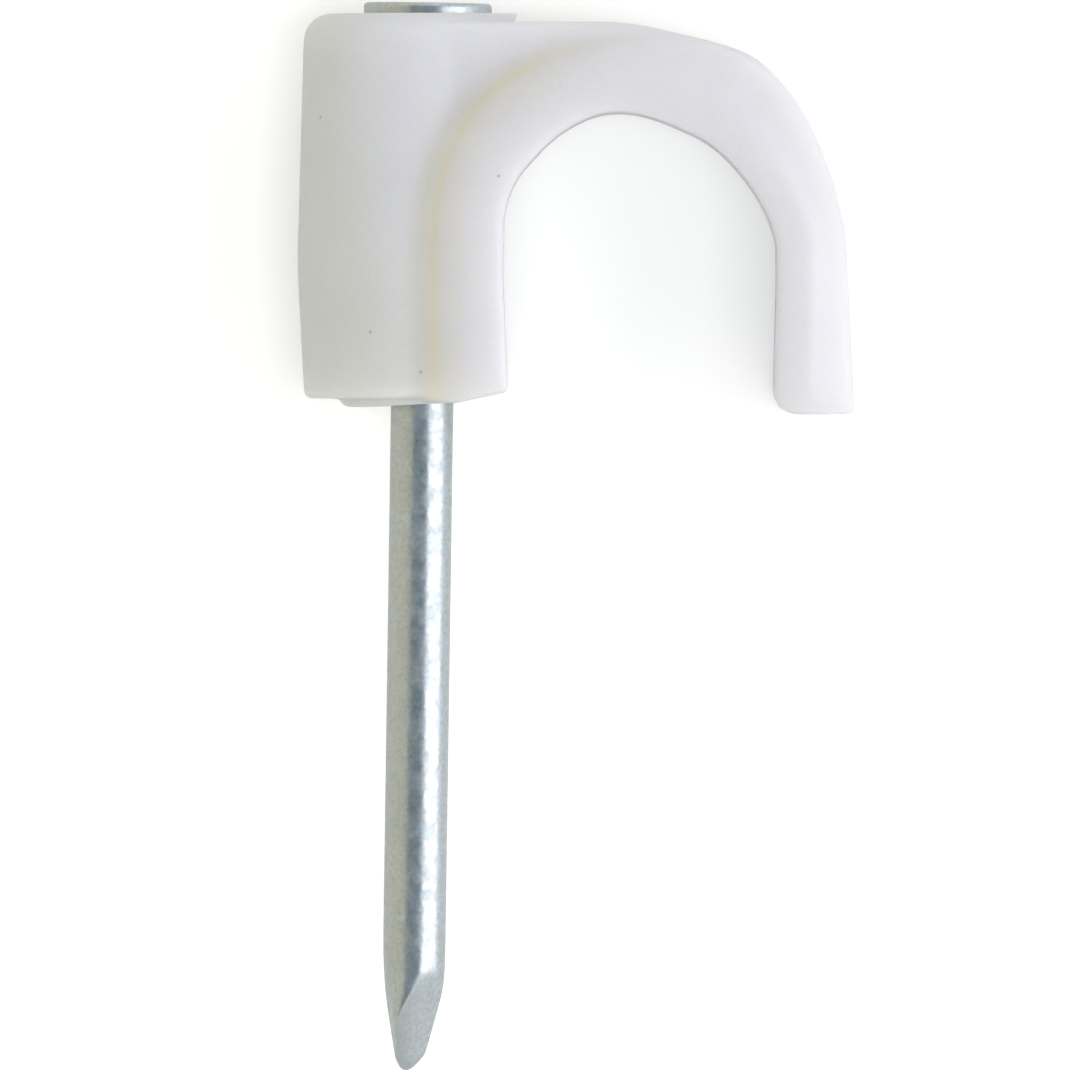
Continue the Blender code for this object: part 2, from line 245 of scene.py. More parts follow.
@dataclass
class NodeTree:
    """A short way to build a material's or a world's nodes."""

    tree: bpy.types.NodeTree

    def add(self, kind: str, inputs: dict[str | int, Any] | None = None, **settings: Any) -> bpy.types.Node:
        """Adds a node.

        Args:
            kind: the node's type.
            inputs: a value or a socket to link, by the input's name or number.
            **settings: the node's own properties.

        Returns:
            The node.
        """
        node = self.tree.nodes.new(kind)
        for name, value in settings.items():
            setattr(node, name, value)
        for key, value in (inputs or {}).items():
            if isinstance(value, Socket):
                self.tree.links.new(value, node.inputs[key])
            else:
                node.inputs[key].default_value = value
        return node

    def maths(self, operation: str, *values: Any) -> Socket:
        """The result of a Math node on these values or sockets."""
        return self.add("ShaderNodeMath", dict(enumerate(values)), operation=operation).outputs[0]

    def spread(self, value: Socket, low: float, high: float, start: float, end: float) -> Socket:
        """Carries a value softly from one range to another.

        Args:
            value: the value.
            low: where the first range starts.
            high: where the first range ends.
            start: the result at low and below it.
            end: the result at high and above it.

        Returns:
            The result.
        """
        ranges = {"Value": value, "From Min": low, "From Max": high, "To Min": start, "To Max": end}
        return self.add("ShaderNodeMapRange", ranges, interpolation_type="SMOOTHSTEP").outputs["Result"]

    def blend(self, share: Socket, first: Any, second: Any) -> Socket:
        """Mixes two colours.

        Args:
            share: the second colour's share, from 0 to 1.
            first: a colour or a socket.
            second: a colour or a socket.

        Returns:
            The mixed colour.
        """
        node = self.add("ShaderNodeMix", data_type="RGBA")
        for name, value in (("Factor_Float", share), ("A_Color", first), ("B_Color", second)):
            socket = next(item for item in node.inputs if item.identifier == name)
            if isinstance(value, Socket):
                self.tree.links.new(value, socket)
            else:
                socket.default_value = (*value, 1.0)
        return next(item for item in node.outputs if item.identifier == "Result_Color")

    def attribute(self, name: str) -> Socket:
        """What a mesh keeps under this name at each of its points."""
        return self.add("ShaderNodeAttribute", attribute_name=name).outputs["Fac"]

    def millimetres(self, scale: Sequence[float] = (1.0, 1.0, 1.0), turn: float = 0.0) -> Socket:
        """Object coordinates in millimetres.

        Args:
            scale: how dense a pattern is along each axis. Less than one draws it out.
            turn: a turn about Z in radians, made before the scale.

        Returns:
            The coordinates.
        """
        place = self.add("ShaderNodeTexCoord").outputs["Object"]
        turned = self.add("ShaderNodeMapping", {"Vector": place, "Rotation": (0.0, 0.0, turn)})
        sizes = {"Vector": turned.outputs[0], "Scale": tuple(part / MM for part in scale)}
        return self.add("ShaderNodeMapping", sizes).outputs[0]

    def noise(self, place: Socket, scale: float, detail: float, roughness: float = 0.5) -> Socket:
        """Noise with this many features a millimetre."""
        inputs = {"Vector": place, "Scale": scale, "Detail": detail, "Roughness": roughness}
        return self.add("ShaderNodeTexNoise", inputs).outputs["Fac"]


def new_material(name: str) -> tuple[bpy.types.Material, NodeTree, bpy.types.Node]:
    """A material with its node helper and its main shader."""
    material = bpy.data.materials.new(name)
    material.use_nodes = True
    return material, NodeTree(material.node_tree), material.node_tree.nodes["Principled BSDF"]


@dataclass(frozen=True)
class MilkyPolyethylene:
    """Natural polyethylene as moulded: milky, satin and cloudy, warmer and darker over the thick boss (partly
    its own tone, partly painted shade), with painted warm shade in the inner corner and painted shade at the
    band's foot.

    A scale says how many features a pattern has in a millimetre.
    """

    thin: Colour = (0.708, 0.703, 0.748)
    # thick: the thick boss's warmer tone, darkened further as painted shade
    thick_and_shade: Colour = (0.667, 0.670, 0.655)
    cloud: float = 0.02
    # corner: painted warm shade along the inner corner
    corner: Colour = (0.70, 0.67, 0.575)
    shadow: Colour = (0.65, 0.65, 0.65)
    speck: Colour = (0.36, 0.31, 0.25)
    depth: float = 3.0 * MM
    scatter: Colour = (1.0, 0.9, 0.78)
    roughness: float = 0.44
    refraction: float = 1.51
    grain_height: float = 0.004 * MM
    grain_scale: float = 11.0
    cloud_scale: float = 0.45
    satin_scale: float = 1.8
    wave_scale: float = 0.8
    wave_height: float = 2.5
    speck_scale: float = 1.2
    speck_rarity: float = 0.88

    def build(self, mid_height: float) -> bpy.types.Material:
        """Builds the material.

        Args:
            mid_height: where the mould's halves met, in millimetres above the table.

        Returns:
            The material.
        """
        material, nodes, shader = new_material("milky_polyethylene")
        place = nodes.millimetres()
        # warmer and darker over the boss: partly the thick plastic's tone, partly painted shade
        thick_and_shade = nodes.attribute("thick_wall_and_shade")
        colour = nodes.blend(thick_and_shade, self.thin, self.thick_and_shade)
        # painted shade at the band's foot, on the boss's side of the inner corner
        shadow = nodes.attribute("corner_foot_shade")
        colour = nodes.blend(shadow, colour, self.shadow)
        # painted warm shade along the inner corner between band and boss
        corner = nodes.attribute("corner_shade")
        colour = nodes.blend(corner, colour, self.corner)
        colour = nodes.blend(self.specks(nodes, place), colour, self.speck)
        grain = nodes.noise(place, self.grain_scale, 3.0, 0.6)
        cloudy = nodes.noise(place, self.cloud_scale, 4.0, 0.55)
        cloudy = nodes.spread(cloudy, 0.35, 0.65, 1.0, 1.0 - self.cloud)
        tone = nodes.maths("MULTIPLY", nodes.spread(grain, 0.25, 0.75, 0.98, 1.02), cloudy)
        shade = nodes.add("ShaderNodeHueSaturation", {"Color": colour, "Value": tone}).outputs[0]
        nodes.tree.links.new(shade, shader.inputs["Base Color"])
        rough = nodes.noise(place, self.satin_scale, 3.0)
        rough = nodes.spread(rough, 0.3, 0.7, self.roughness - 0.05, self.roughness + 0.06)
        nodes.tree.links.new(rough, shader.inputs["Roughness"])
        shader.inputs["Subsurface Weight"].default_value = 1.0
        shader.inputs["Subsurface Radius"].default_value = self.scatter
        shader.inputs["Subsurface Scale"].default_value = self.depth
        shader.inputs["IOR"].default_value = self.refraction
        waves = nodes.noise(place, self.wave_scale, 2.0)
        height = nodes.maths("ADD", grain, nodes.maths("MULTIPLY", waves, self.wave_height))
        height = nodes.maths("ADD", height, self.parting_line(nodes, place, mid_height))
        bump = nodes.add("ShaderNodeBump", {"Height": height, "Distance": self.grain_height, "Strength": 1.0})
        nodes.tree.links.new(bump.outputs[0], shader.inputs["Normal"])
        return material

    def specks(self, nodes: NodeTree, place: Socket) -> Socket:
        """A few dark specks of dust in the melt, each a tenth of a millimetre across."""
        cells = nodes.add("ShaderNodeTexVoronoi", {"Vector": place, "Scale": self.speck_scale})
        dot = nodes.spread(cells.outputs["Distance"], 0.03, 0.1, 0.6, 0.0)
        red = nodes.add("ShaderNodeSeparateColor", {"Color": cells.outputs["Color"]}).outputs[0]
        return nodes.maths("MULTIPLY", dot, nodes.maths("GREATER_THAN", red, self.speck_rarity))

    def parting_line(self, nodes: NodeTree, place: Socket, mid_height: float) -> Socket:
        """The faint raised line left where the mould's halves met, as a height in grains."""
        height = nodes.add("ShaderNodeSeparateXYZ", {"Vector": place}).outputs["Z"]
        off = nodes.maths("ABSOLUTE", nodes.maths("SUBTRACT", height, mid_height))
        return nodes.spread(off, 0.02, 0.07, 4.0, 0.0)


@dataclass(frozen=True)
class ZincPlating:
    """Bright zinc on drawn steel: glossy, mottled blue and straw, with small pits and drawing streaks; darker
    straw is painted down the nail's left side as painted shade and reflection, and the ground flats are
    dulled by grinding and darkened towards their left as painted shade.

    A scale says how many features a pattern has in a millimetre.
    """

    blue: Colour = (0.51, 0.56, 0.60)
    # straw: the plating's mottle, and also the painted shade down the nail's left side
    straw_and_shade: Colour = (0.475, 0.485, 0.45)
    pit: Colour = (0.33, 0.36, 0.38)
    # ground: the dull ground flats, also carrying painted shade towards their left
    ground_and_shade: Colour = (0.37, 0.405, 0.42)
    roughness: float = 0.33
    relief: float = 0.003 * MM
    mottle_scale: float = 1.1
    streak_scale: float = 5.0
    streak_density: tuple[float, float, float] = (1.0, 0.12, 1.0)
    grain_scale: float = 7.0
    pit_scale: float = 13.0
    gloss_scale: float = 2.4

    def build(self, lean_angle: float) -> bpy.types.Material:
        """Builds the material.

        Args:
            lean_angle: the nail's lean from Y in radians, which its streaks follow.

        Returns:
            The material.
        """
        material, nodes, shader = new_material("zinc_plated_steel")
        place = nodes.millimetres()
        streaked = nodes.millimetres(self.streak_density, lean_angle)
        mottle = nodes.noise(place, self.mottle_scale, 4.0, 0.6)
        # painted shade and reflection: darker straw down the nail's left side, on top of the random mottle
        side = nodes.attribute("straw_shade_side")
        patch = nodes.spread(mottle, 0.25, 0.75, -0.45, 0.45)
        tinted = nodes.maths("ADD", side, patch)
        colour = nodes.blend(nodes.spread(tinted, 0.0, 1.0, 0.0, 1.0), self.blue, self.straw_and_shade)
        streaks = nodes.noise(streaked, self.streak_scale, 3.0, 0.6)
        # the flats' ground finish, made darker towards their left as painted shade
        ground_and_shade = nodes.attribute("ground_and_shade_side")
        ground_and_shade = nodes.maths("MULTIPLY", ground_and_shade, nodes.spread(streaks, 0.35, 0.65, 0.55, 1.0))
        colour = nodes.blend(ground_and_shade, colour, self.ground_and_shade)
        grain = nodes.noise(place, self.grain_scale, 3.0, 0.6)
        colour = nodes.blend(nodes.spread(grain, 0.35, 0.75, 0.0, 0.55), colour, self.pit)
        spots = nodes.noise(place, self.pit_scale, 2.0, 0.5)
        pits = nodes.spread(spots, 0.6, 0.75, 0.0, 0.5)
        colour = nodes.blend(pits, colour, self.pit)
        nodes.tree.links.new(colour, shader.inputs["Base Color"])
        shader.inputs["Metallic"].default_value = 1.0
        rough = nodes.noise(place, self.gloss_scale, 3.0)
        rough = nodes.spread(rough, 0.3, 0.7, self.roughness - 0.06, self.roughness + 0.1)
        nodes.tree.links.new(rough, shader.inputs["Roughness"])
        height = nodes.maths("MULTIPLY", streaks, 0.8)
        height = nodes.maths("SUBTRACT", height, nodes.maths("MULTIPLY", pits, 0.3))
        height = nodes.maths("ADD", height, nodes.maths("MULTIPLY", mottle, 0.6))
        height = nodes.maths("ADD", height, nodes.maths("MULTIPLY", grain, 0.35))
        bump = nodes.add("ShaderNodeBump", {"Height": height, "Distance": self.relief, "Strength": 1.0})
        nodes.tree.links.new(bump.outputs[0], shader.inputs["Normal"])
        return material


@dataclass(frozen=True)
class PointCut:
    """One flat of the nail's point, by its distances from the axis at its upper end and at the tip."""

    azimuth: float
    length: float
    tip_distance: float
    upper_distance: float | None = None


@dataclass(frozen=True)
class SteelNail:
    """The nail: a straight shank with a thin round head and a cut diamond point. Sizes in millimetres."""

    diameter: float = 2.05
    length: float = 35.0
    lean_degrees: float = 0.83
    head_diameter: float = 4.2
    head_thickness: float = 0.8
    head_cone: float = 0.5
    head_round: float = 0.14
    head_proud: float = 0.35
    fit: float = 0.02
    edge_sharpness: float = 16.0
    point_reach: float = 7.0
    point_rings: int = 90
    tip_shift: Pair = (-0.49, 0.12)
    tip_round: float = 0.15
    # the next two set where shade is painted down the nail's left side
    straw_shade_side: Pair = (-0.6, 0.1)
    ground_shade_left: Pair = (-0.55, 0.35)
    ground_low: Pair = (0.1, 0.6)
    ground_depth: Pair = (0.02, 0.12)
    steps: int = 144
    cuts: tuple[PointCut, ...] = (
        PointCut(40.0, 3.15, -0.43),
        PointCut(-140.0, 3.3, 0.54),
        PointCut(100.0, 3.0, 0.4),
        PointCut(-80.0, 3.4, 0.46),
        PointCut(100.0, 0.35, 0.03, 0.36),
        PointCut(-80.0, 0.35, 0.3, 0.52),
    )

    @property
    def radius(self) -> float:
        """The shank's radius."""
        return self.diameter / 2

    def placing(self) -> Matrix:
        """Turns the nail's own axis to its lean in the plan."""
        return Matrix.Rotation(-math.radians(self.lean_degrees), 4, "Z")

    def head_top(self, boss_height: float) -> float:
        """Height of the head's top over the boss's foot."""
        return boss_height + self.head_proud

    def bore(self, boss_height: float) -> Shape:
        """The nail's shape grown by its fit, and drawn out past the boss at both ends."""
        top = self.head_top(boss_height)
        shank = self.radius + self.fit
        head = self.head_diameter / 2 + self.fit
        under = top - self.head_thickness - self.fit
        corners = [(0.0, -OVERSHOOT), (shank, -OVERSHOOT), (shank, under - self.head_cone), (head, under)]
        corners += [(head, top + OVERSHOOT), (0.0, top + OVERSHOOT)]
        bm = spun([Vector((x, y, 0.0)) for x, y in corners], self.steps)
        bmesh.ops.transform(bm, matrix=self.placing(), verts=bm.verts)
        return bm

    def around(self, azimuth: float) -> Vector:
        """A unit vector square to the nail's axis, at this angle from Z towards X in degrees."""
        return Vector((math.sin(math.radians(azimuth)), 0.0, math.cos(math.radians(azimuth))))

    def limits(self, centre: Vector, away: Vector, over_tip: float) -> list[float]:
        """How far the shank's round and each flat lie from a centre.

        Args:
            centre: where the distances start, as a vector from the axis.
            away: the direction that they are taken in.
            over_tip: the section's height over the tip.

        Returns:
            The distances.
        """
        along = centre.dot(away)
        found = [math.sqrt(along**2 + self.radius**2 - centre.length_squared) - along]
        for cut in self.cuts:
            facing = self.around(cut.azimuth)
            upper = self.radius if cut.upper_distance is None else cut.upper_distance
            reach = cut.tip_distance + (upper - cut.tip_distance) * over_tip / cut.length
            if facing.dot(away) > 0.05:
                found.append((reach - facing.dot(centre)) / facing.dot(away))
        return found

    def point_ring(self, over_tip: float, tip: float) -> list[Vector]:
        """A section of the point, whose flats and round run into each other over dull edges.

        Args:
            over_tip: the section's height over the tip.
            tip: the tip's height over the boss's foot.

        Returns:
            The section's points.
        """
        across, aside = self.tip_shift
        first = self.cuts[0]
        left = max(1.0 - over_tip / first.length, 0.0)
        centre = (self.around(first.azimuth) * across + self.around(first.azimuth + 90.0) * aside) * left
        blunt = min((over_tip + 0.1 * self.tip_round) / self.tip_round, 1.0)
        blunt = math.sqrt(blunt * (2.0 - blunt))
        ring = []
        for step in range(self.steps):
            away = self.around(360.0 * step / self.steps)
            limits = self.limits(centre, away, over_tip)
            distance = sum(limit**-self.edge_sharpness for limit in limits) ** (-1.0 / self.edge_sharpness)
            ring.append(centre + away * distance * blunt + Vector((0.0, tip + over_tip, 0.0)))
        return ring

    def build(self, boss_height: float) -> bpy.types.Object:
        """Builds the nail in the plan's millimetres."""
        top = self.head_top(boss_height)
        tip = top - self.length
        head = self.head_diameter / 2
        under = top - self.head_thickness
        corners = [
            (self.radius, tip + self.point_reach, 0.0),
            (self.radius, under - self.head_cone, 0.2),
            (head, under, self.head_round),
            (head, top, self.head_round),
            (0.0, top, 0.0),
        ]
        rings = []
        for step in range(self.point_rings):
            rings.append(self.point_ring(self.point_reach * (step / self.point_rings) ** 1.6, tip))
        turns = [self.around(360.0 * step / self.steps) for step in range(self.steps)]
        for corner in rounded(corners, 5)[:-1]:
            rings.append([turn * corner.x + Vector((0.0, corner.y, 0.0)) for turn in turns])
        bm = bridged(rings)
        nail = make_object("nail", bm)
        # marks the painted shade down the nail's left side and on the ground flats
        tints = {"straw_shade_side": self.straw_shade_tint, "ground_and_shade_side": lambda place: self.ground_and_shade_tint(place, tip)}
        mark_tints(nail.data, tints)
        nail.data.transform(self.placing())
        return nail

    def straw_shade_tint(self, place: Vector) -> float:
        """How much darker straw is painted at a point down the nail's left side, as painted shade and
        reflection.
        """
        return 1.0 - smoothstep(*self.straw_shade_side, place.x / self.radius)

    def ground_and_shade_tint(self, place: Vector, tip: float) -> float:
        """How much the flats' grinding has dulled the plating, most at the tip, with painted shade added
        towards their left.

        Args:
            place: the point, before the nail is turned to its lean.
            tip: the tip's height over the boss's foot.

        Returns:
            A share from 0 to 1.
        """
        left = 1.0 - smoothstep(*self.ground_shade_left, place.x / self.radius)
        low = 1.0 - smoothstep(*self.ground_low, place.y - tip)
        off_round = smoothstep(*self.ground_depth, self.radius - math.hypot(place.x, place.z))
        return off_round * max(left, low)


@dataclass(frozen=True)
class Boss:
    """The barrel that holds the nail, drafted from its belly to both ends. Sizes in millimetres."""

    height: float = 12.62
    radius: float = 4.1
    belly_share: float = 0.35
    belly_round: float = 20.0
    top_draft: float = 1.65
    foot_draft: float = 3.0
    shoulder_round: float = 0.9
    foot_round: float = 0.2
    land_rim: float = 0.17
    lip_undercut: float = 0.12
    seat_radius: float = 2.62
    seat_height: float = 0.28
    seat_round: float = 0.12
    relief_start: float = -1.8
    relief: float = 2.8
    leg_relief: float = 11.2
    leg_corner_round: float = 0.2
    steps: int = 256

    def top_radius(self) -> float:
        """The wall's radius where it would reach the top without its shoulder."""
        return self.radius - self.height * (1.0 - self.belly_share) * math.tan(math.radians(self.top_draft))

    def barrel(self) -> Shape:
        """The turned barrel with the low seat under it."""
        belly = self.belly_share * self.height
        foot_radius = self.radius - belly * math.tan(math.radians(self.foot_draft))
        corners = [
            (0.0, -self.seat_height, 0.0),
            (self.seat_radius, -self.seat_height, self.seat_round),
            (self.seat_radius, 0.0, 0.0),
            (foot_radius, 0.0, self.foot_round),
            (self.radius, belly, self.belly_round),
            (self.top_radius(), self.height, self.shoulder_round),
            (0.0, self.height, 0.0),
        ]
        return spun(rounded(corners, 12), self.steps)

    def underside(self, nail_side: float, wall: float) -> Shape:
        """The sloping cut under boss and leg, which leaves the seat flat only on its far side.

        Args:
            nail_side: where the slope steepens, beside the nail.
            wall: where the channel's wall ends the leg.

        Returns:
            The cutter.
        """
        low = -self.seat_height
        knee = low + (nail_side - self.relief_start) * math.tan(math.radians(self.relief))
        wall_foot = knee + (wall - nail_side) * math.tan(math.radians(self.leg_relief))
        top = wall_foot + 1.5 * self.leg_corner_round
        corners = [
            (self.relief_start, low, 0.0),
            (nail_side, knee, 0.0),
            (wall, wall_foot, self.leg_corner_round),
            (wall, top, 0.0),
            (wall + OVERSHOOT, top, 0.0),
            (wall + OVERSHOOT, low - OVERSHOOT, 0.0),
            (self.relief_start, low - OVERSHOOT, 0.0),
        ]
        return prism(rounded(corners, 6), 6 * self.radius)

    def shoulder_step(self, web_top: float) -> Shape:
        """The step where the land on the boss stops above the web, cut back a little under its lip."""
        lip = self.top_radius() - self.shoulder_round + self.land_rim
        far = self.radius + OVERSHOOT
        above = self.height + OVERSHOOT
        slant = self.lip_undercut / (self.height - web_top)
        corners = [
            (lip - self.lip_undercut, web_top),
            (far, web_top),
            (far, above),
            (lip + OVERSHOOT * slant, above),
        ]
        return prism([Vector((x, y, 0.0)) for x, y in corners], 3 * self.radius)


@dataclass(frozen=True)
class Channel:
    """The arch that the cable lies in. Sizes in millimetres, angles about the arch in degrees."""

    width: float = 8.92
    from_nail: float = 2.68
    near_draft: float = 2.3
    far_draft: float = 1.5
    straight_wall: float = 1.4
    crown_inset: float = 0.47
    crown_fade: Pair = (66.0, 112.0)
    springing: float = 45.0
    near_outset: float = 0.1

    @property
    def radius(self) -> float:
        """Half the channel's width."""
        return self.width / 2

    def radius_at(self, degrees: float) -> float:
        """The arch's radius: pulled in over the far half of its crown, and let out in its near corner."""
        rise = math.sin(math.pi / 2 * min(degrees / self.springing, 1.0))
        inset = self.crown_inset * rise * (1.0 - smoothstep(*self.crown_fade, degrees))
        outset = self.near_outset * window((138.0, 154.0), (162.0, 178.0), degrees)
        return self.radius - inset + outset


@dataclass(frozen=True)
class Hook:
    """The band round the channel. Sizes in millimetres, angles about the arch in degrees."""

    thickness: float = 2.29
    leg_growth: float = 0.3
    corner_growth: float = 0.12
    crown_growth: float = 0.45
    far_inset: float = 0.11
    width: float = 9.4
    outer_draft: float = 2.8
    near_draft: float = 1.6
    inner_round: float = 0.14
    ridge_offset: float = 1.2
    soft_ridge: float = 3.0
    crisp_ridge: float = 0.4
    ridge_change: Pair = (20.0, 80.0)
    bevel_drop: float = 0.72
    outer_round: float = 0.3
    tip_drop: float = 0.51
    tip_inner_round: float = 0.84
    tip_outer_round: float = 0.16
    arch_steps: int = 120
    leg_steps: int = 16

    def growth_at(self, degrees: float) -> float:
        """How far the band's outer edge stands past its plain radius."""
        leg = self.leg_growth * smoothstep(98.0, 138.0, degrees)
        corner = self.corner_growth * window((120.0, 140.0), (152.0, 176.0), degrees)
        crown = self.crown_growth * window((20.0, 58.0), (58.0, 96.0), degrees)
        inset = self.far_inset * window((0.0, 12.0), (66.0, 100.0), degrees)
        return leg + corner + crown - inset

    def section(self, thickness: float, degrees: float) -> list[Vector]:
        """The upper half of the band's section.

        Args:
            thickness: the band's thickness.
            degrees: the section's angle about the arch.

        Returns:
            Points by their distance from the inner face and their height over the mid-plane.
        """
        half = self.width / 2
        softness = smoothstep(*self.ridge_change, degrees)
        ridge_round = self.crisp_ridge + (self.soft_ridge - self.crisp_ridge) * softness
        corners = [
            (0.0, 0.0, 0.0),
            (0.0, half, self.inner_round),
            (self.ridge_offset, half, ridge_round),
            (thickness, half - self.bevel_drop, self.outer_round),
            (thickness, 0.0, 0.0),
        ]
        return rounded(corners, 6)[1:-1]

    def tip_heights(self, top: float) -> list[float]:
        """Heights of the stations down the free leg, closer together round its corner."""
        straight = self.tip_inner_round - self.tip_drop
        heights = [top + (straight - top) * step / self.leg_steps for step in range(1, self.leg_steps + 1)]
        for step in range(1, self.leg_steps + 1):
            turn = math.pi / 2 * step / self.leg_steps
            heights.append(straight - self.tip_inner_round * math.sin(turn))
        return heights


@dataclass(frozen=True)
class CrownKnot:
    """A point that the web's top edge passes, with its height over the band and its fall in degrees."""

    angle: float
    over_band: float
    fall: float


@dataclass(frozen=True)
class Web:
    """The plate between boss and crown. Sizes in millimetres."""

    width: float = 7.56
    step: float = 0.3
    rise: float = 0.53
    edge_round: float = 0.25
    flat_end: float = 1.1
    knots: tuple[CrownKnot, ...] = (
        CrownKnot(79.0, 0.26, 13.0),
        CrownKnot(62.0, 0.39, 22.0),
        CrownKnot(42.5, 0.16, 53.0),
        CrownKnot(20.0, -0.12, 70.0),
    )


@dataclass(frozen=True)
class ClipBody:
    """The moulded clip: boss, web and hook in one, with the soft inner corners of a moulding."""

    boss: Boss = field(default_factory=Boss)
    channel: Channel = field(default_factory=Channel)
    hook: Hook = field(default_factory=Hook)
    web: Web = field(default_factory=Web)
    skin_cell: float = 0.1
    edge_passes: int = 4
    corner_passes: int = 14
    corner_reach: float = 0.6
    fillet_shares: tuple[float, ...] = (0.15, 0.35, 0.6)
    # the next six set where the painted warm shade in the inner corner lies
    tint_reach: float = 0.2
    tint_inset: float = 0.26
    tint_shift: float = 0.2
    border_share: float = 0.38
    border_reach: float = 0.9
    border_inset: float = 0.35
    # the next two set where the painted shade at the band's foot lies
    foot_reach: float = 0.4
    foot_outset: float = 0.15
    # the next two set where the thick boss's tone and its painted shade end
    thick_shade_end: Pair = (-3.6, 1.4)
    thin_unshaded_start: Pair = (-0.8, 3.5)

    @property
    def web_top(self) -> float:
        """Height of the web's top over the boss's foot."""
        return self.boss.height - self.web.step

    @property
    def band_radius(self) -> float:
        """The band's plain outer radius."""
        return self.channel.radius + self.hook.thickness

    @property
    def arch_centre(self) -> Vector:
        """The centre of the channel's arch."""
        height = self.web_top - self.web.rise - self.band_radius
        return Vector((self.channel.from_nail + self.channel.radius, height, 0.0))

    @property
    def draft_start(self) -> float:
        """The height below which the channel's walls lean out."""
        return self.arch_centre.y - self.channel.straight_wall

    def band_stations(self) -> list[tuple[Vector, Vector]]:
        """Inner and outer edge of the band, from the foot of the boss's leg round to the hook's tip."""
        centre = self.arch_centre
        hook = self.hook
        channel = self.channel
        stations = []
        foot = -self.boss.seat_height
        outer_x = centre.x - self.band_radius - hook.growth_at(180.0)
        for step in range(hook.leg_steps):
            height = foot + (centre.y - foot) * step / hook.leg_steps
            inner_x = channel.from_nail + lean(height, self.draft_start, channel.near_draft)
            outer = Vector((outer_x + lean(height, centre.y, hook.near_draft), height, 0.0))
            stations.append((Vector((inner_x, height, 0.0)), outer))
        for step in range(hook.arch_steps + 1):
            degrees = 180.0 * (1.0 - step / hook.arch_steps)
            inner = centre + direction(degrees) * channel.radius_at(degrees)
            outer = centre + direction(degrees) * (self.band_radius + hook.growth_at(degrees))
            stations.append((inner, outer))
        for height in hook.tip_heights(centre.y):
            above_tip = height + hook.tip_drop
            inner_x = centre.x + channel.radius - lean(height, self.draft_start, channel.far_draft)
            outer_x = centre.x + self.band_radius + lean(height, centre.y, hook.outer_draft)
            inner_x += corner_cut(above_tip, hook.tip_inner_round)
            outer_x -= corner_cut(above_tip, hook.tip_outer_round)
            stations.append((Vector((inner_x, height, 0.0)), Vector((outer_x, height, 0.0))))
        return stations

    def band(self) -> Shape:
        """The hook's band, with a flat side face, a soft ridge and a sloping border."""
        rings = []
        for inner, outer in self.band_stations():
            outward = (outer - inner).normalized()
            across = (inner + outer) / 2 - self.arch_centre
            degrees = abs(math.degrees(math.atan2(max(across.y, 0.0), across.x)))
            section = self.hook.section((outer - inner).length, degrees)
            upper = [inner + outward * point.x + Vector((0.0, 0.0, point.y)) for point in section]
            lower = [Vector((point.x, point.y, -point.z)) for point in reversed(upper)]
            rings.append(upper + lower)
        return bridged(rings)

    def channel_core(self) -> Shape:
        """What the boss loses to the channel, out to the middle of the band."""
        middle = [(inner + outer) / 2 for inner, outer in self.band_stations()]
        first = Vector((middle[0].x, -OVERSHOOT, 0.0))
        last = Vector((middle[-1].x, -OVERSHOOT, 0.0))
        return prism([first, *middle, last], self.hook.width + OVERSHOOT)

    def crown_plate(self) -> Shape:
        """The web, its top edge running out into the band."""
        centre = self.arch_centre
        knots = [(Vector((centre.x - self.web.flat_end, self.web_top, 0.0)), direction(0.0))]
        for knot in self.web.knots:
            place = centre + direction(knot.angle) * (self.band_radius + knot.over_band)
            knots.append((place, direction(-knot.fall)))
        outline = [Vector((0.0, centre.y, 0.0)), Vector((0.0, self.web_top, 0.0))]
        for (start, leaving), (end, arriving) in zip(knots, knots[1:]):
            reach = (end - start).length / 3
            pulls = (start + leaving * reach, end - arriving * reach)
            outline += interpolate_bezier(start, *pulls, end, 16)[:-1]
        outline.append(knots[-1][0])
        middle = self.band_radius - self.hook.thickness / 2
        run_out = self.web.knots[-1].angle
        turns = self.hook.arch_steps
        for step in range(turns + 1):
            outline.append(centre + direction(run_out + (180.0 - run_out) * step / turns) * middle)
        bm = prism(outline, self.web.width)
        clear = self.band_radius - self.web.edge_round
        rims = []
        for edge in bm.edges:
            level = abs(edge.verts[0].co.z - edge.verts[1].co.z) < 1e-6
            if level and min((vert.co.xy - centre.xy).length for vert in edge.verts) > clear:
                rims.append(edge)
        bmesh.ops.bevel(
            bm,
            geom=rims,
            offset=self.web.edge_round,
            offset_type="OFFSET",
            segments=4,
            profile=0.5,
            affect="EDGES",
            material=-1,
        )
        return bm

    def corner_share(self, place: Vector, reach: float, inset: float = 0.0) -> float:
        """How much a point belongs to the inner corner between the band and what it stands on.

        Args:
            place: the point.
            reach: how far the corner reaches to both sides.
            inset: how far its middle lies inside the band's outer edge.

        Returns:
            A share from 0 to 1.
        """
        away = place - self.arch_centre
        degrees = math.degrees(math.atan2(away.y, away.x)) if away.y > 0.0 else 180.0
        distance = math.hypot(away.x, away.y) if away.y > 0.0 else abs(away.x)
        if away.y <= 0.0 and away.x > 0.0:
            return 0.0
        off = distance - self.band_radius - self.hook.growth_at(degrees) + inset
        beside = smoothstep(2.8, 3.3, abs(place.z))
        return math.exp(-((off / reach) ** 2)) * smoothstep(72.0, 128.0, degrees) * beside

    def smooth(self, bm: Shape) -> None:
        """Dulls every edge a little, and draws soft fillets in the inner corners."""
        soften(bm, bm.verts, self.edge_passes)
        shares = {vert: self.corner_share(vert.co, self.corner_reach) for vert in bm.verts}
        for least in self.fillet_shares:
            soften(bm, [vert for vert, share in shares.items() if share > least], self.corner_passes)

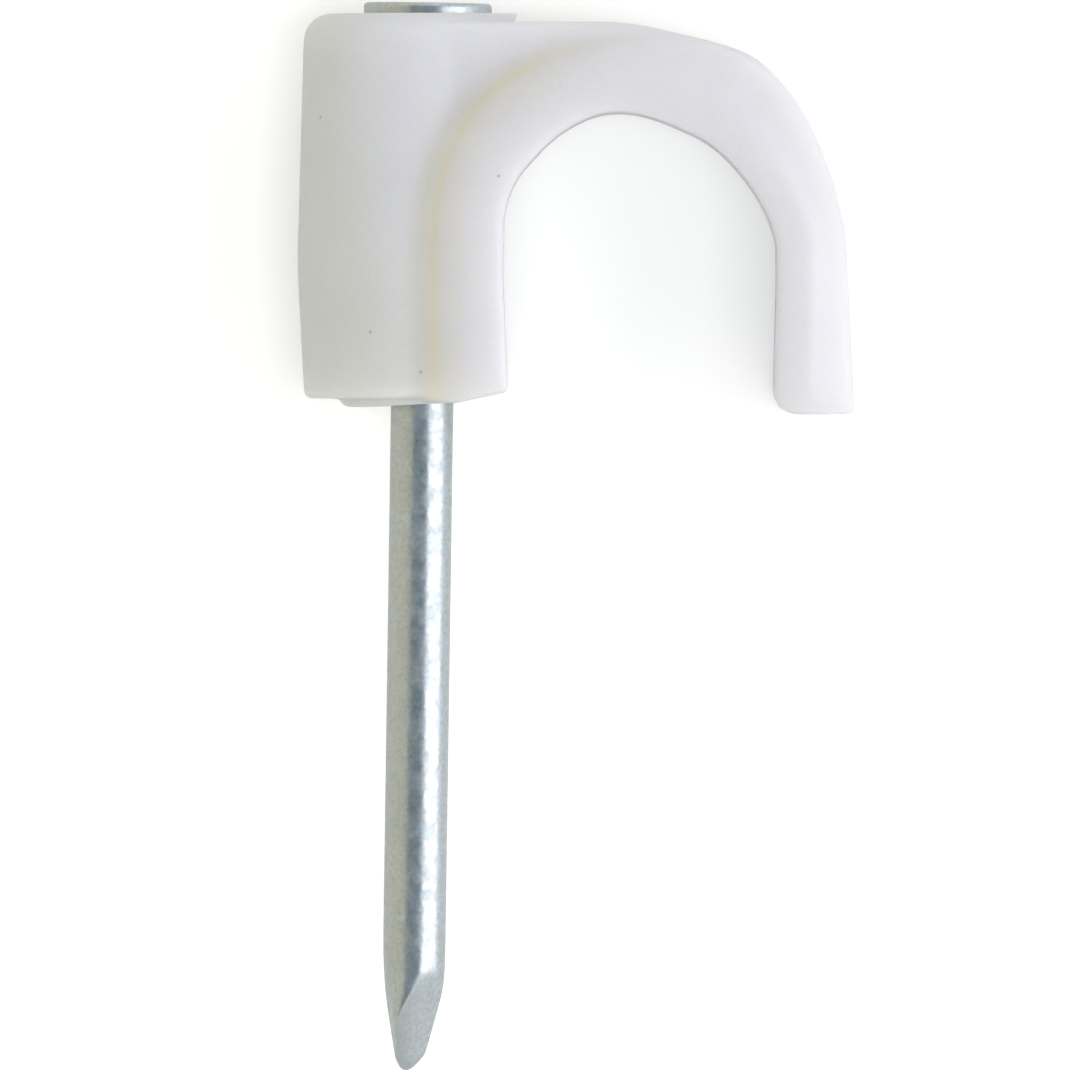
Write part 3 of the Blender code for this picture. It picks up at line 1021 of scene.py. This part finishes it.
    def build(self, nail: SteelNail) -> bpy.types.Object:
        """Builds the clip in the plan's millimetres."""
        body = make_object("clip", self.boss.barrel())
        wall = self.channel.from_nail + lean(0.0, self.draft_start, self.channel.near_draft)
        steps = [
            ("DIFFERENCE", self.channel_core()),
            ("UNION", self.band()),
            ("UNION", self.crown_plate()),
            ("DIFFERENCE", self.boss.underside(nail.radius, wall)),
        ]
        combine(body, steps, "EXACT")
        skin = body.modifiers.new("skin", "REMESH")
        skin.mode = "VOXEL"
        skin.voxel_size = self.skin_cell
        settle(body)
        bm = bmesh.new()
        bm.from_mesh(body.data)
        self.smooth(bm)
        bm.to_mesh(body.data)
        bm.free()
        crisp = [
            ("DIFFERENCE", self.boss.shoulder_step(self.web_top)),
            ("DIFFERENCE", nail.bore(self.boss.height)),
        ]
        combine(body, crisp, "EXACT")
        # painted shade in the inner corner and at the band's foot, and the thick boss's own tone with painted
        # shade
        tints = {
            "corner_shade": self.corner_shade_tint,
            "corner_foot_shade": self.foot_shade_tint,
            "thick_wall_and_shade": self.thickness_and_shade_tint,
        }
        mark_tints(body.data, tints)
        return body

    def angle_of(self, place: Vector) -> float:
        """A point's angle about the arch in degrees, from the free leg round to the boss."""
        away = place - self.arch_centre
        return math.degrees(math.atan2(max(away.y, 0.0), away.x))

    def corner_shade_tint(self, place: Vector) -> float:
        """How much painted warm shade a point gets from lying in the inner corner: a line with a wide faint
        border.
        """
        degrees = self.angle_of(place)
        strength = 0.45 + 0.55 * smoothstep(100.0, 135.0, degrees)
        inset = self.tint_inset - self.tint_shift * (1.0 - smoothstep(100.0, 165.0, degrees))
        line = self.corner_share(place, self.tint_reach, inset)
        border = self.corner_share(place, self.border_reach, self.border_inset)
        return strength * (self.border_share * border + (1.0 - self.border_share) * line)

    def foot_shade_tint(self, place: Vector) -> float:
        """How much painted shade a point gets at the foot of the band, on the boss's side of the inner
        corner.
        """
        strength = 0.3 + 0.7 * smoothstep(135.0, 165.0, self.angle_of(place))
        return strength * self.corner_share(place, self.foot_reach, -self.foot_outset)

    def thickness_and_shade_tint(self, place: Vector) -> float:
        """How warm and dark a point is over the thick boss: partly the plastic's own tone and partly painted
        shade, reaching further over towards its foot.
        """
        low = (1.0 - place.y / self.boss.height) ** 2
        end, end_reach = self.thick_shade_end
        start, start_reach = self.thin_unshaded_start
        return 1.0 - smoothstep(end + end_reach * low, start + start_reach * low, place.x)


@dataclass(frozen=True)
class CableClip:
    """The whole part, its two pieces set where the frame's solids lie."""

    body: ClipBody = field(default_factory=ClipBody)
    nail: SteelNail = field(default_factory=SteelNail)
    plastic: MilkyPolyethylene = field(default_factory=MilkyPolyethylene)
    plating: ZincPlating = field(default_factory=ZincPlating)

    def placing(self) -> Matrix:
        """Carries the plan's millimetres to the frame's metres."""
        low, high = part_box(Node.CLIP_BODY.value)
        corner = Vector((low.x, low.y, (low.z + high.z) / 2))
        return Matrix.Translation(corner) @ Matrix.Scale(MM, 4) @ Matrix.Translation(
            (self.body.boss.radius, self.body.hook.tip_drop, 0.0)
        )

    def finish_piece(
        self, piece: bpy.types.Object, node: Node, material: bpy.types.Material
    ) -> None:
        """Sets a piece in place, dresses it and ties it to the frame.

        Args:
            piece: the piece, in the plan's millimetres.
            node: the solid that it stands for.
            material: what it is dressed in.
        """
        piece.data.transform(self.placing())
        piece.data.shade_smooth()
        piece.data.set_sharp_from_angle(angle=math.radians(30.0))
        piece.data.materials.clear()
        piece.data.materials.append(material)
        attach(piece, "root")
        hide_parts(node.value)
        LOG.info("%s: %d faces", piece.name, len(piece.data.polygons))

    def build(self) -> None:
        """Builds both pieces."""
        low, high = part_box(Node.CLIP_BODY.value)
        mid_height = (low.z + high.z) / 2 / MM
        clip = self.body.build(self.nail)
        self.finish_piece(clip, Node.CLIP_BODY, self.plastic.build(mid_height))
        nail = self.nail.build(self.body.boss.height)
        plating = self.plating.build(math.radians(self.nail.lean_degrees))
        self.finish_piece(nail, Node.STEEL_NAIL, plating)


@dataclass(frozen=True)
class SoftBox:
    """A large diffuse lamp, by its tilt from the vertical towards +X and then towards +Y, in degrees."""

    name: str
    tilt: float
    distance: float
    across: float
    along: float
    radiance: float
    colour: Colour = (1.0, 1.0, 1.0)
    tilt_up: float = 0.0
    mirrored: bool = True

    def build(self, target: Vector) -> bpy.types.Object:
        """Hangs the lamp so that it faces the target."""
        lamp = bpy.data.lights.new(self.name, "AREA")
        lamp.shape = "RECTANGLE"
        lamp.size = self.across
        lamp.size_y = self.along
        lamp.energy = math.pi * self.across * self.along * self.radiance
        lamp.color = self.colour
        obj = bpy.data.objects.new(self.name, lamp)
        bpy.context.scene.collection.objects.link(obj)
        obj.visible_camera = False
        obj.visible_glossy = self.mirrored
        to_right = Matrix.Rotation(math.radians(self.tilt), 4, "Y")
        turn = Matrix.Rotation(math.radians(-self.tilt_up), 4, "X") @ to_right
        obj.matrix_world = Matrix.Translation(target) @ turn @ Matrix.Translation((0.0, 0.0, self.distance))
        return obj


@dataclass(frozen=True)
class Studio:
    """A white table under a light tent, with a softbox on the right and a dark opening for the camera."""

    floor_size: float = 6.0
    floor_colour: Colour = (0.8, 0.8, 0.79)
    floor_white: float = 0.95
    floor_tint: Colour = (1.0, 1.0, 0.975)
    floor_lift: float = 0.28
    tent: Colour = (0.95, 0.95, 0.93)
    tent_level: float = 0.72
    tent_slant: float = 0.6
    softbox: SoftBox = SoftBox("softbox", 56.0, 1.0, 1.12, 0.35, 2.2, (0.96, 0.96, 1.0))
    ceiling: SoftBox = SoftBox("ceiling", 3.0, 1.0, 0.4, 0.4, 5.7, (0.99, 0.99, 0.98), -8.0, False)
    opening_height: float = 1.3
    opening_left: float = 33.0
    opening_right: float = 27.0
    opening_along: float = 1.4
    side_reach: float = 1.5
    side_colour: Colour = (0.97, 0.95, 0.85)
    side_glow: float = 0.15
    opening_colour: Colour = (0.36, 0.44, 0.50)
    camera_height: float = 1.6
    frame_width: float = 35.41 * MM
    frame_centre: Pair = (-1.165 * MM, -0.125 * MM)
    sensor: float = 36.0

    def seen(self, path: bpy.types.Node, nodes: NodeTree) -> Socket:
        """One for rays from the camera and for rays that gloss or glass sends on."""
        glossy = nodes.maths("MAXIMUM", path.outputs["Is Camera Ray"], path.outputs["Is Glossy Ray"])
        return nodes.maths("MAXIMUM", glossy, path.outputs["Is Transmission Ray"])

    def floor(self) -> None:
        """The table, whose white is lifted only for what looks at it, so that it keeps the clip's shadow."""
        bm = bmesh.new()
        bmesh.ops.create_grid(bm, x_segments=1, y_segments=1, size=self.floor_size / 2)
        floor = make_object("table", bm)
        material = bpy.data.materials.new("white_table")
        material.use_nodes = True
        nodes = NodeTree(material.node_tree)
        nodes.tree.nodes.clear()
        path = nodes.add("ShaderNodeLightPath")
        shown = tuple(self.floor_white * part for part in self.floor_tint)
        colour = nodes.blend(self.seen(path, nodes), self.floor_colour, shown)
        matt = nodes.add("ShaderNodeBsdfDiffuse", {"Color": colour})
        level = nodes.maths("MULTIPLY", path.outputs["Is Camera Ray"], self.floor_lift)
        lift = nodes.add("ShaderNodeEmission", {"Color": (1.0, 1.0, 1.0, 1.0), "Strength": level})
        both = nodes.add("ShaderNodeAddShader", {0: matt.outputs[0], 1: lift.outputs[0]})
        nodes.add("ShaderNodeOutputMaterial", {"Surface": both.outputs[0]})
        floor.data.materials.append(material)

    def card(self, name: str, edges: tuple[Vector, Vector, Vector], colour: Colour, glow: float) -> None:
        """Hangs a matt card that only the clip and the table see.

        Args:
            name: the card's name.
            edges: the middle of one edge, the middle of the opposite one, and half of both edges' run.
            colour: the card's colour.
            glow: how much light comes through the card from behind.
        """
        bm = bmesh.new()
        start, end, half = edges
        corners = (start - half, start + half, end + half, end - half)
        bm.faces.new([bm.verts.new(corner) for corner in corners])
        card = make_object(name, bm)
        card.visible_camera = False
        material, _, shader = new_material(f"{name}_cloth")
        shader.inputs["Base Color"].default_value = (*colour, 1.0)
        shader.inputs["Roughness"].default_value = 1.0
        shader.inputs["Specular IOR Level"].default_value = 0.0
        shader.inputs["Emission Color"].default_value = (*colour, 1.0)
        shader.inputs["Emission Strength"].default_value = glow
        card.data.materials.append(material)

    def cards(self, target: Vector) -> None:
        """What the metal mirrors: the tent's dark opening for the camera and its straw-coloured left side."""
        rise = self.opening_height
        left = target + rise * Vector((-math.tan(math.radians(self.opening_left)), 0.0, 1.0))
        right = target + rise * Vector((math.tan(math.radians(self.opening_right)), 0.0, 1.0))
        half = Vector((0.0, self.opening_along / 2, 0.0))
        side = Vector((-self.side_reach, 0.0, 0.0))
        self.card("camera_opening", (left, right, half), self.opening_colour, 0.0)
        self.card("side_card", (left, side, half), self.side_colour, self.side_glow)

    def world(self) -> None:
        """The tent: a soft light all round, brighter from the right, shown as plain white."""
        world = bpy.data.worlds.new("light_tent")
        bpy.context.scene.world = world
        world.use_nodes = True
        nodes = NodeTree(world.node_tree)
        nodes.tree.nodes.clear()
        facing = nodes.add("ShaderNodeTexCoord").outputs["Generated"]
        towards = nodes.add("ShaderNodeSeparateXYZ", {"Vector": facing})
        slant = nodes.maths("MULTIPLY_ADD", towards.outputs["X"], self.tent_slant, 1.0)
        level = nodes.maths("MULTIPLY", slant, self.tent_level)
        soft = nodes.add("ShaderNodeBackground", {"Color": (*self.tent, 1.0), "Strength": level})
        white = nodes.add("ShaderNodeBackground", {"Color": (1.0, 1.0, 1.0, 1.0), "Strength": 1.0})
        seen = self.seen(nodes.add("ShaderNodeLightPath"), nodes)
        mixed = nodes.add("ShaderNodeMixShader", {0: seen, 1: soft.outputs[0], 2: white.outputs[0]})
        nodes.add("ShaderNodeOutputWorld", {"Surface": mixed.outputs[0]})

    def camera(self, mid_height: float) -> None:
        """Looks straight down with a long lens, the nail's head at the top of the frame.

        The height stays under 1.7 m. A camera moved round the clip keeps this lens, and a longer one would
        put it further from the clip than it sees, which leaves the picture blank.
        """
        camera = bpy.data.cameras.new("camera")
        camera.sensor_width = self.sensor
        camera.lens = self.sensor * self.camera_height / self.frame_width
        obj = bpy.data.objects.new("camera", camera)
        obj.location = (*self.frame_centre, mid_height + self.camera_height)
        bpy.context.scene.collection.objects.link(obj)
        bpy.context.scene.camera = obj

    def build(self) -> None:
        """Sets up the table, the light and the camera."""
        low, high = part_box(Node.CLIP_BODY.value)
        middle = Vector((0.0, 0.0, (low.z + high.z) / 2))
        self.floor()
        self.cards(middle)
        self.softbox.build(middle)
        self.ceiling.build(middle)
        self.world()
        self.camera(middle.z)
        bpy.context.scene.view_settings.view_transform = "Standard"


def main() -> None:
    """Dresses the clip and its nail, and sets them in their studio."""
    logging.basicConfig(level=logging.INFO, format="%(name)s: %(message)s")
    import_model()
    CableClip().build()
    Studio().build()


if __name__ == "__main__":
    main()
